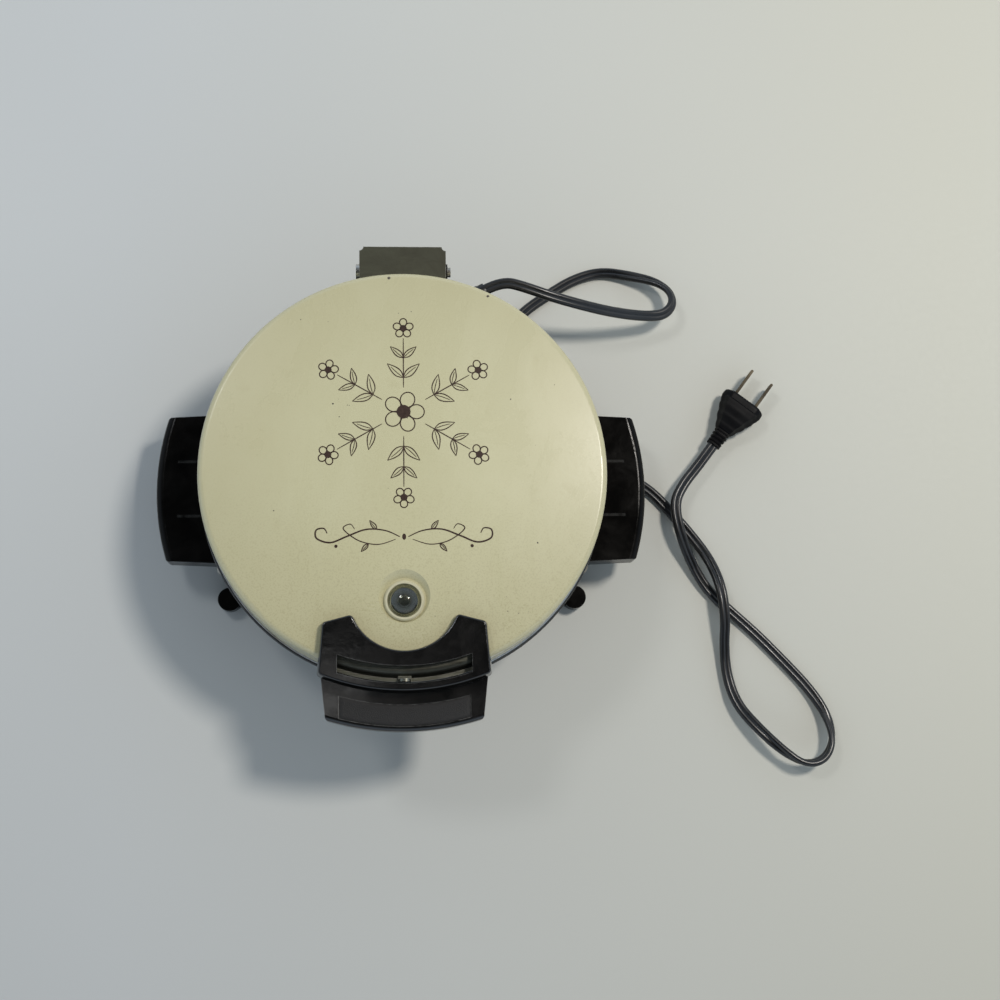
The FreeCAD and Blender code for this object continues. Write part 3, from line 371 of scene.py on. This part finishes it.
# ---- cord ---------------------------------------------------------------------------------
# The route's points about the body's axis, from the strain relief to the plug.
ROUTE = [
    (0.0430, 0.1030, 0.0400),
    (0.0520, 0.1075, 0.0405),
    (0.0635, 0.1045, 0.0405),
    (0.0770, 0.1002, 0.0390),
    (0.0920, 0.0973, 0.0350),
    (0.1060, 0.0956, 0.0295),
    (0.1190, 0.0952, 0.0235),
    (0.1310, 0.0956, 0.0185),
    (0.1406, 0.0972, 0.0155),
    (0.1460, 0.1040, 0.0130),
    (0.1444, 0.1120, 0.0105),
    (0.1368, 0.1180, 0.0080),
    (0.1240, 0.1220, 0.0050),
    (0.1080, 0.1250, 0.0029),
    (0.0930, 0.1204, 0.0029),
    (0.0790, 0.1116, 0.0029),
    (0.0660, 0.1026, 0.0029),
    (0.0560, 0.0905, 0.0029),
    (0.0495, 0.0760, 0.0029),
    (0.0465, 0.0600, 0.0029),
    (0.0480, 0.0440, 0.0029),
    (0.0570, 0.0295, 0.0029),
    (0.0720, 0.0205, 0.0029),
    (0.0890, 0.0166, 0.0029),
    (0.1060, 0.0146, 0.0029),
    (0.1205, 0.0108, 0.0029),
    (0.1320, 0.0038, 0.0029),
    (0.1420, -0.0070, 0.0029),
    (0.1525, -0.0195, 0.0029),
    (0.1620, -0.0330, 0.0045),
    (0.1670, -0.0480, 0.0098),
    (0.1688, -0.0645, 0.0098),
    (0.1684, -0.0800, 0.0045),
    (0.1694, -0.0950, 0.0035),
    (0.1736, -0.1100, 0.0060),
    (0.1840, -0.1230, 0.0090),
    (0.1965, -0.1352, 0.0105),
    (0.2078, -0.1420, 0.0105),
    (0.2180, -0.1396, 0.0095),
    (0.2236, -0.1295, 0.0075),
    (0.2216, -0.1160, 0.0045),
    (0.2130, -0.1020, 0.0029),
    (0.2000, -0.0878, 0.0029),
    (0.1860, -0.0732, 0.0029),
    (0.1725, -0.0610, 0.0029),
    (0.1605, -0.0495, 0.0029),
    (0.1524, -0.0355, 0.0045),
    (0.1460, -0.0200, 0.0098),
    (0.1434, -0.0040, 0.0098),
    (0.1490, 0.0065, 0.0082),
    (0.1573, 0.0163, 0.0076),
    (0.1656, 0.0273, 0.0076),
]
CORD_WIDTH = 0.0058
CORE_R = 0.00165                           # each of the cord's two cores
CORE_X = CORD_WIDTH / 2 - CORE_R
# Degrees of roll of the flat cord at points of the route.
TURNED_UP = {9: 35, 10: 30, 37: 40, 38: 55, 39: 40, 32: -25, 46: 20}


def route_place(index):
    x, y, z = ROUTE[index]
    return Vector((x, y + AXIS_Y, z))


def cord_line():
    """Points along the route's smooth line."""
    data = bpy.data.curves.new("cord_route", "CURVE")
    data.dimensions = "3D"
    data.resolution_u = 8
    spline = data.splines.new("NURBS")
    spline.points.add(len(ROUTE) - 1)
    for index, point in enumerate(spline.points):
        point.co = (*route_place(index), 1)
    spline.order_u = 3
    spline.use_endpoint_u = True
    holder = bpy.data.objects.new("cord_route", data)
    mesh = bpy.data.meshes.new_from_object(holder)
    line = [vertex.co.copy() for vertex in mesh.vertices]
    bpy.data.objects.remove(holder)
    bpy.data.curves.remove(data)
    bpy.data.meshes.remove(mesh)
    return line


def cord_roll(station):
    """Roll of the flat cord at a station counted in route points."""
    return math.radians(sum(
        degrees * (1 - smooth_step(abs(station - centre), 0, 3)) for centre, degrees in TURNED_UP.items()
    ))


def twin_section():
    """Figure-of-eight outline of the twin cord."""
    open_angle = math.pi - math.acos(CORE_X / CORE_R)
    steps = 10
    lobe = [-open_angle + 2 * open_angle * i / steps for i in range(steps + 1)]
    right = [(CORE_X + CORE_R * math.cos(a), CORE_R * math.sin(a)) for a in lobe]
    return right[:-1] + [(-x, -y) for x, y in right[:-1]]


def make_cord(material):
    line = cord_line()
    last = len(line) - 1
    section = twin_section()
    path = []
    rings = []
    for i, point in enumerate(line):
        station = i * (len(ROUTE) - 1) / last
        roll = cord_roll(station)
        ends = smooth_step(station, 0.5, 5) * (1 - smooth_step(station, len(ROUTE) - 6, len(ROUTE) - 2))
        flat = CORE_X * (1 - abs(math.sin(roll)))      # a cord lying flat is lower than its round CAD tube
        centre = point - UP * flat * ends
        along = (line[min(i + 1, last)] - line[max(i - 1, 0)]).normalized()
        side = along.cross(UP).normalized()
        side = Matrix.Rotation(roll, 3, along) @ side
        rise = side.cross(along)
        path.append(centre)
        rings.append([centre + side * x + rise * y for x, y in section])
    bm = bmesh.new()
    loft(bm, rings)
    cord = add_piece("flat_cord", bm, "base", material)
    split_sharp(cord, 50)
    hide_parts("power_cord")
    return cord, path


def make_relief(material):
    """Tapered, ringed strain relief, flattened towards the cord."""
    tip = route_place(0)
    along = (route_place(1) - tip).normalized()
    side = along.cross(UP).normalized()
    rise = side.cross(along)
    length = 0.0234
    neck = 0.0060
    rings = []
    stations = 40
    for i in range(stations + 1):
        s = length * i / stations
        grip = (s - neck) / (length - neck)
        wide = 0.0050 if grip < 0 else 0.0050 - 0.0013 * grip
        tall = 0.0050 if grip < 0 else 0.0050 - 0.0024 * grip
        if 0.12 < grip < 0.92:
            groove = 0.0002 * smooth_step(math.sin(grip * math.pi * 10), -0.2, 0.4)
            wide -= groove
            tall -= groove
        centre = tip - along * (length - s)
        angles = [2 * math.pi * k / 28 for k in range(28)]
        rings.append([centre + side * wide * math.cos(a) + rise * tall * math.sin(a) for a in angles])
    bm = bmesh.new()
    loft(bm, rings)
    relief = add_piece("ringed_strain_relief", bm, "base", material)
    split_sharp(relief, 50)
    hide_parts("cord_strain_relief")
    return relief


# The plug's neck rings, in millimetres along it from the cord's end.
NECK_START = 0.8
NECK_END = 9.4
NECK_RING_PITCH = 2.15
NECK_RING_DEPTH = 0.55


def plug_profile(s):
    """Half width, half height, half width of the raised back and half height of the side wings."""
    table = [
        (0.0, 3.9, 2.9, 2.6, 2.6),
        (8.0, 4.4, 3.9, 3.2, 3.2),
        (12.0, 6.2, 5.0, 4.4, 3.6),
        (17.0, 8.6, 6.2, 6.2, 3.9),
        (22.0, 10.7, 6.9, 7.8, 4.2),
        (25.2, 11.8, 7.0, 8.6, 4.4),
        (26.2, 12.2, 5.6, 8.8, 5.0),
        (28.8, 12.1, 5.6, 8.8, 5.0),
        (29.5, 11.7, 5.4, 8.4, 4.8),
        (30.0, 10.8, 4.8, 7.6, 4.2),
    ]
    for near, far in zip(table, table[1:]):
        if s <= far[0]:
            gap = far[0] - near[0]
            share = smooth_step(s, near[0], far[0]) if gap > 1 else (s - near[0]) / gap
            return [a + (b - a) * share for a, b in zip(near[1:], far[1:])]
    return list(table[-1][1:])


def plug_ring(s):
    width, height, back, wing = plug_profile(s)
    if NECK_START < s < NECK_END:
        turn = (s - NECK_START) * 2 * math.pi / NECK_RING_PITCH
        ring = NECK_RING_DEPTH * smooth_step(math.cos(turn), -0.35, 0.35)
        width -= ring
        height -= ring
        back -= ring
        wing -= ring
    top = []
    steps = 20
    for i in range(steps + 1):
        y = width * math.cos(math.pi * i / steps)
        fall = smooth_step(abs(y), back, back + 0.16 * width)
        crown = height - 0.25 * (abs(y) / width) ** 2
        shoulder = wing * max(0.0, 1 - (abs(y) / width) ** 4) ** 0.5
        top.append((y, min(crown + (shoulder - crown) * fall, crown)))
    return [(s, y, z) for y, z in top] + [(s, y, -z) for y, z in reversed(top[1:-1])]


def make_plug(material):
    end = route_place(-1)
    run = end - route_place(-2)
    place = Matrix.Translation(end) @ Matrix.Rotation(math.atan2(run.y, run.x), 4, "Z") @ Matrix.Scale(MM, 4)
    stations = [i * 0.2 for i in range(46)] + [9.5 + i * 0.6 for i in range(27)]
    stations += [25.2, 25.5, 25.8, 26.2, 27.5, 28.8, 29.1, 29.4, 29.7, 29.9, 30.0]
    bm = bmesh.new()
    loft(bm, [[place @ Vector(point) for point in plug_ring(s)] for s in sorted(set(stations))])
    plug = add_piece("moulded_plug", bm, "base", material)
    split_sharp(plug, 40)
    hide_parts("plug_body")
    return plug


# ---- print on the lid --------- -------------------------------------------------------------
INK_TOP = 0.00005
INK_UNDER = -0.00012
FINE = 0.54                                # millimetres, as are all the print's own sizes


def on_lid(x, y, lift):
    r2 = (x * x + y * y) * MM * MM
    return Vector((x * MM, y * MM + AXIS_Y, LID_TOP - CROWN_R + math.sqrt(CROWN_R ** 2 - r2) + lift))


def curve_through(points, steps=7, closed=False):
    """Smooth line through given points."""
    count = len(points)
    line = []
    spans = count if closed else count - 1
    for i in range(spans):
        if closed:
            four = [points[(i + k) % count] for k in (-1, 0, 1, 2)]
        else:
            four = [points[min(max(i + k, 0), count - 1)] for k in (-1, 0, 1, 2)]
        for step in range(steps):
            t = step / steps
            line.append(tuple(
                0.5 * (2 * b + (c - a) * t + (2 * a - 5 * b + 4 * c - d) * t * t
                       + (3 * b - a - 3 * c + d) * t ** 3)
                for a, b, c, d in zip(*four)
            ))
    if not closed:
        line.append(tuple(points[-1]))
    return line


class Print:
    """Collects inked strokes and spots as thin solids lying on the lid."""

    def __init__(self):
        self.bm = bmesh.new()

    def strip(self, line, width, closed=False, taper=True):
        count = len(line)
        rows = []
        for i, (x, y) in enumerate(line):
            if closed:
                before, after = line[i - 1], line[(i + 1) % count]
            else:
                before, after = line[max(i - 1, 0)], line[min(i + 1, count - 1)]
            dx, dy = after[0] - before[0], after[1] - before[1]
            size = math.hypot(dx, dy) or 1.0
            swell = 1.0
            if taper and not closed:
                swell = 0.45 + 0.55 * math.sin(math.pi * i / (count - 1)) ** 0.6
            nx, ny = -dy / size * width * swell / 2, dx / size * width * swell / 2
            rows.append([
                self.bm.verts.new(on_lid(x + nx, y + ny, INK_TOP)),
                self.bm.verts.new(on_lid(x - nx, y - ny, INK_TOP)),
                self.bm.verts.new(on_lid(x - nx, y - ny, INK_UNDER)),
                self.bm.verts.new(on_lid(x + nx, y + ny, INK_UNDER)),
            ])
        pairs = list(zip(rows, rows[1:]))
        if closed:
            pairs.append((rows[-1], rows[0]))
        for near, far in pairs:
            for i in range(4):
                j = (i + 1) % 4
                self.bm.faces.new((near[i], near[j], far[j], far[i]))
        if not closed:
            self.bm.faces.new(reversed(rows[0]))
            self.bm.faces.new(rows[-1])

    def stroke(self, points, width=FINE, taper=True):
        self.strip(curve_through(points), width, taper=taper)

    def spot(self, x, y, radius, sides=18, squash=1.0, angle=0.0):
        top, under = [], []
        for i in range(sides):
            a = 2 * math.pi * i / sides
            px, py = radius * math.cos(a), radius * squash * math.sin(a)
            px, py = px * math.cos(angle) - py * math.sin(angle), px * math.sin(angle) + py * math.cos(angle)
            top.append(self.bm.verts.new(on_lid(x + px, y + py, INK_TOP)))
            under.append(self.bm.verts.new(on_lid(x + px, y + py, INK_UNDER)))
        self.bm.faces.new(top)
        self.bm.faces.new(reversed(under))
        for i in range(sides):
            j = (i + 1) % sides
            self.bm.faces.new((top[i], under[i], under[j], top[j]))

    def ring(self, x, y, radius, width=FINE, squash=1.0, angle=0.0):
        line = []
        for i in range(24):
            a = 2 * math.pi * i / 24
            px, py = radius * math.cos(a), radius * squash * math.sin(a)
            line.append((x + px * math.cos(angle) - py * math.sin(angle),
                         y + px * math.sin(angle) + py * math.cos(angle)))
        self.strip(line, width, closed=True)

    def leaf(self, x, y, degrees, length, plump=0.34, bend=0.0):
        """Outlined leaf with a vein; its stalk is at (x, y)."""
        a = math.radians(degrees)

        def at(s, t):
            t += bend * math.sin(math.pi * s) * 0.5
            return (x + length * (s * math.cos(a) - t * math.sin(a)),
                    y + length * (s * math.sin(a) + t * math.cos(a)))

        half = plump / 2
        self.stroke([at(0, 0), at(0.28, half * 0.85), at(0.6, half * 0.8), at(1, 0)])
        self.stroke([at(0, 0), at(0.28, -half * 0.85), at(0.6, -half * 0.8), at(1, 0)])
        self.stroke([at(0.05, 0), at(0.4, 0.02), at(0.78, 0)], FINE * 0.7)

    def small_flower(self, x, y, size, petals=5, turn=0.0):
        for i in range(petals):
            a = turn + 2 * math.pi * i / petals
            px, py = x + size * 0.62 * math.cos(a), y + size * 0.62 * math.sin(a)
            self.ring(px, py, size * 0.38, FINE, 0.92, a)
        self.spot(x, y, size * 0.34)


ROSETTE_Y = 28.0
ROSETTE_ARMS = 6


def draw_spray(p):
    """A plain rosette: one flower and like stems all round it, each with paired leaves and a small flower."""
    middle = Vector((0, ROSETTE_Y))
    p.small_flower(*middle, 10.0)
    for arm in range(ROSETTE_ARMS):
        degrees = 360 * arm / ROSETTE_ARMS + 30
        out = Vector((math.cos(math.radians(degrees)), math.sin(math.radians(degrees))))
        p.stroke([tuple(middle + out * reach) for reach in (12, 20, 28, 37)])
        for reach, length in ((17, 10.5), (27, 8.5)):
            for side in (-1, 1):
                p.leaf(*(middle + out * reach), degrees + side * 48, length, 0.36)
        p.small_flower(*(middle + out * 42), 5.0, turn=math.radians(degrees))


def draw_flourish(p):
    """A plain scroll under the rosette, the same to left and right."""
    for side in (-1, 1):
        def at(x, y):
            return (side * x, y - 33.0)

        p.stroke([at(2.0, 0.0), at(9.0, 3.0), at(18.0, 3.6), at(27.0, 0.4), at(35.0, -2.6), at(41.5, -0.6),
                  at(41.8, 3.4), at(38.2, 4.2), at(36.6, 1.8)], FINE * 1.5)
        p.stroke([at(4.0, -1.2), at(12.0, -3.6), at(20.0, -2.4), at(26.0, 1.0), at(29.0, 4.4), at(25.6, 6.2),
                  at(23.6, 3.8)], FINE)
        p.leaf(*at(13.0, 3.5), 90 - side * 38, 5.6, 0.36)
        p.leaf(*at(17.0, -3.2), 270 + side * 42, 5.2, 0.36)
        p.spot(*at(32.4, -4.4), 0.8, 12)
    p.spot(0.0, -33.0, 1.5, 16, 0.62, math.pi / 2)


def make_print(material):
    p = Print()
    draw_spray(p)
    draw_flourish(p)
    add_piece("printed_spray", p.bm, "lid", material, smooth=False)


# ---- grip panel ---------------------------------------------------------------------------
def make_grip_panel(material):
    """Stippled panel lying in the recess of the front grip, with a softened edge."""
    grip_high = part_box("front_handle_grip")[1]
    inner, outer = 0.1126, 0.1223
    half = 0.0309
    floor = grip_high.z - 0.0006
    lift = 0.00042
    soft = 0.0004
    columns, rows = 60, 12
    bm = bmesh.new()
    top = []
    for i in range(columns + 1):
        x = -half + 2 * half * i / columns
        low = -math.sqrt(outer ** 2 - x ** 2)
        high = -math.sqrt(inner ** 2 - x ** 2)
        line = []
        for j in range(rows + 1):
            y = low + (high - low) * j / rows
            edge = min(half - abs(x), y - low, high - y)
            line.append(bm.verts.new((x, y + AXIS_Y, floor + lift * smooth_step(edge + soft * 0.4, 0, soft))))
        top.append(line)
    for near, far in zip(top, top[1:]):
        for j in range(rows):
            bm.faces.new((near[j], far[j], far[j + 1], near[j + 1]))
    made = bmesh.ops.extrude_edge_only(bm, edges=[e for e in bm.edges if e.is_boundary])
    fresh = [v for v in made["geom"] if isinstance(v, bmesh.types.BMVert)]
    for vertex in fresh:
        vertex.co.z = floor - 0.0002
    border = [item for item in made["geom"] if isinstance(item, bmesh.types.BMEdge)]
    bmesh.ops.contextual_create(bm, geom=fresh + border)
    panel = add_piece("grip_panel", bm, "lid", material)
    split_sharp(panel, 40)


# ---- floor and light ----------------------------------------------------------------------
def make_floor(material):
    bm = bmesh.new()
    bmesh.ops.create_grid(bm, x_segments=1, y_segments=1, size=4.0)
    mesh = bpy.data.meshes.new("floor")
    bm.to_mesh(mesh)
    bm.free()
    mesh.materials.append(material)
    floor = bpy.data.objects.new("floor", mesh)
    floor.location.z = -0.0001
    bpy.context.scene.collection.objects.link(floor)


def add_lamp(name, place, size, power, colour):
    data = bpy.data.lights.new(name, "AREA")
    data.shape = "DISK"
    data.size = size
    data.energy = power
    data.color = colour
    lamp = bpy.data.objects.new(name, data)
    lamp.location = place
    lamp.rotation_mode = "QUATERNION"
    lamp.rotation_quaternion = Vector(place).to_track_quat("Z", "Y")
    bpy.context.scene.collection.objects.link(lamp)


def make_light():
    """A room dark overhead and bright all round, a warm lamp on the right and a cool one at the back."""
    world = bpy.data.worlds.new("studio")
    world.use_nodes = True
    tree = world.node_tree
    direction = tree.nodes.new("ShaderNodeTexCoord")
    split = tree.nodes.new("ShaderNodeSeparateXYZ")
    rise = tree.nodes.new("ShaderNodeMapRange")
    room = tree.nodes.new("ShaderNodeMix")
    room.data_type = "RGBA"
    rise.inputs["From Min"].default_value = 0.47
    rise.inputs["From Max"].default_value = 0.88
    room.inputs[6].default_value = (0.665, 0.785, 0.92, 1)
    room.inputs[7].default_value = (0.035, 0.040, 0.044, 1)
    tree.links.new(direction.outputs["Generated"], split.inputs["Vector"])
    tree.links.new(split.outputs["Z"], rise.inputs["Value"])
    tree.links.new(rise.outputs["Result"], room.inputs[0])
    tree.links.new(room.outputs[2], tree.nodes["Background"].inputs["Color"])
    bpy.context.scene.world = world
    bpy.context.scene.view_settings.view_transform = "Standard"
    add_lamp("key", (0.95, 0.50, 1.80), 0.34, 23.5, (1.0, 0.955, 0.89))
    add_lamp("glint", (-0.10, -0.01, 1.86), 0.12, 0.05, (1.0, 0.99, 0.97))
    add_lamp("second", (-0.80, 0.75, 1.70), 0.40, 5, (0.94, 0.97, 1.0))


# ---- all pieces ---------------------------------------------------------------------------
make_camera()
rubber = moulded("cord_rubber", (0.004, 0.004, 0.0045), (0.008, 0.008, 0.0085), 0.24, 0.40, 1200,
                 0.00003, 0.1)
cord, cord_path = make_cord(rubber)
plug = make_plug(moulded("plug_rubber", (0.003, 0.003, 0.0035), (0.006, 0.006, 0.0065), 0.34, 0.50,
                         specular=0.08))
relief = make_relief(rubber)
finish_nodes(moulded("blade_brass", (0.055, 0.045, 0.028), (0.026, 0.021, 0.014), 0.40, 0.55, depth=0.00001,
                     metal=0.6, specular=0.3), "plug_blades")

finish_nodes(enamel(), "lid_shell")
finish_nodes(phenolic(), "front_handle_bezel", "front_handle_grip")
finish_nodes(phenolic("dull_phenolic", 0.0, 0.08, 0.15), "left_handle", "right_handle",
             "front_left_foot", "front_right_foot", "rear_left_foot", "rear_right_foot")
finish_nodes(bright_steel("chrome_rim", (0.34, 0.335, 0.32), (0.20, 0.17, 0.13), 0.16, 0.32), "lid_rim")
finish_nodes(moulded("base_enamel", (0.0035, 0.0035, 0.0035), (0.008, 0.0075, 0.007), 0.14, 0.30, 700,
                     0.00003, 0.3), "base_shell", "base_ring")
finish_nodes(dull_steel("hinge_steel", (0.058, 0.058, 0.038), (0.042, 0.040, 0.026), metal=0.6),
             "lid_hinge_bracket", "hinge_base_bracket")
finish_nodes(dull_steel("strap_steel", (0.20, 0.20, 0.165), (0.13, 0.125, 0.095), 0.28, 0.45),
             "front_handle_bracket", "left_handle_bracket", "right_handle_bracket")
finish_nodes(dull_steel("cover_steel", (0.40, 0.40, 0.39), (0.26, 0.24, 0.21)), "bottom_cover")
finish_nodes(dull_steel("pin_steel", (0.50, 0.49, 0.46), (0.26, 0.22, 0.17), 0.22, 0.4), "hinge_pin")
finish_nodes(dull_steel("dark_spring_steel", (0.045, 0.043, 0.04), (0.02, 0.018, 0.016), 0.3, 0.5),
             "hinge_pin_clip")
finish_nodes(dull_steel("screw_steel", (0.48, 0.47, 0.44), (0.25, 0.21, 0.16), 0.25, 0.42),
             "bottom_cover_screws", "foot_screws", "side_handle_screws", "handle_bracket_rivets",
             "hinge_base_screws", "lower_grid_screws", "upper_grid_screws", "grip_screws", "bezel_screws",
             "lid_hinge_screws")
finish_nodes(dull_steel("lamp_holder_steel", (0.08, 0.085, 0.07), (0.05, 0.05, 0.045), metal=0.4),
             "lamp_holder")
finish_nodes(cast_metal(), "lower_grid", "upper_grid")
finish_nodes(moulded("heater_sheath", (0.10, 0.085, 0.075), (0.16, 0.14, 0.125), 0.4, 0.6, 1500, 0.00003,
                     metal=0.9),
             "lower_heating_element", "upper_heating_element")
finish_nodes(moulded("ceramic", (0.62, 0.58, 0.50), (0.74, 0.71, 0.64), 0.45, 0.65, 1400),
             "lower_element_clips", "upper_element_clips", "terminal_block")
finish_nodes(bright_steel("reflector_sheet", (0.62, 0.62, 0.61), (0.40, 0.34, 0.26), 0.20, 0.36),
             "lower_reflector", "upper_reflector")
finish_nodes(bright_steel("thermostat_metal", (0.55, 0.54, 0.50), (0.35, 0.28, 0.2), 0.25, 0.4), "thermostat")
finish_nodes(moulded("lead_sleeve", (0.05, 0.045, 0.04), (0.09, 0.08, 0.07), 0.45, 0.6), "supply_leads")
finish_nodes(moulded("grommet_rubber", (0.012, 0.012, 0.012), (0.022, 0.021, 0.02), 0.45, 0.6),
             "base_lead_grommet", "lid_lead_grommet")
finish_nodes(clear_glass("jewel_glass", (0.68, 0.69, 0.61)), "jewel_lens")
finish_nodes(clear_glass("lamp_glass", (0.84, 0.84, 0.82)), "signal_lamp")
finish_nodes(moulded("jewel_ring", (0.50, 0.46, 0.30), (0.57, 0.53, 0.36), 0.35, 0.5), "jewel_retainer")

make_print(ink())
make_grip_panel(stippled())
make_floor(table_top())
make_light()
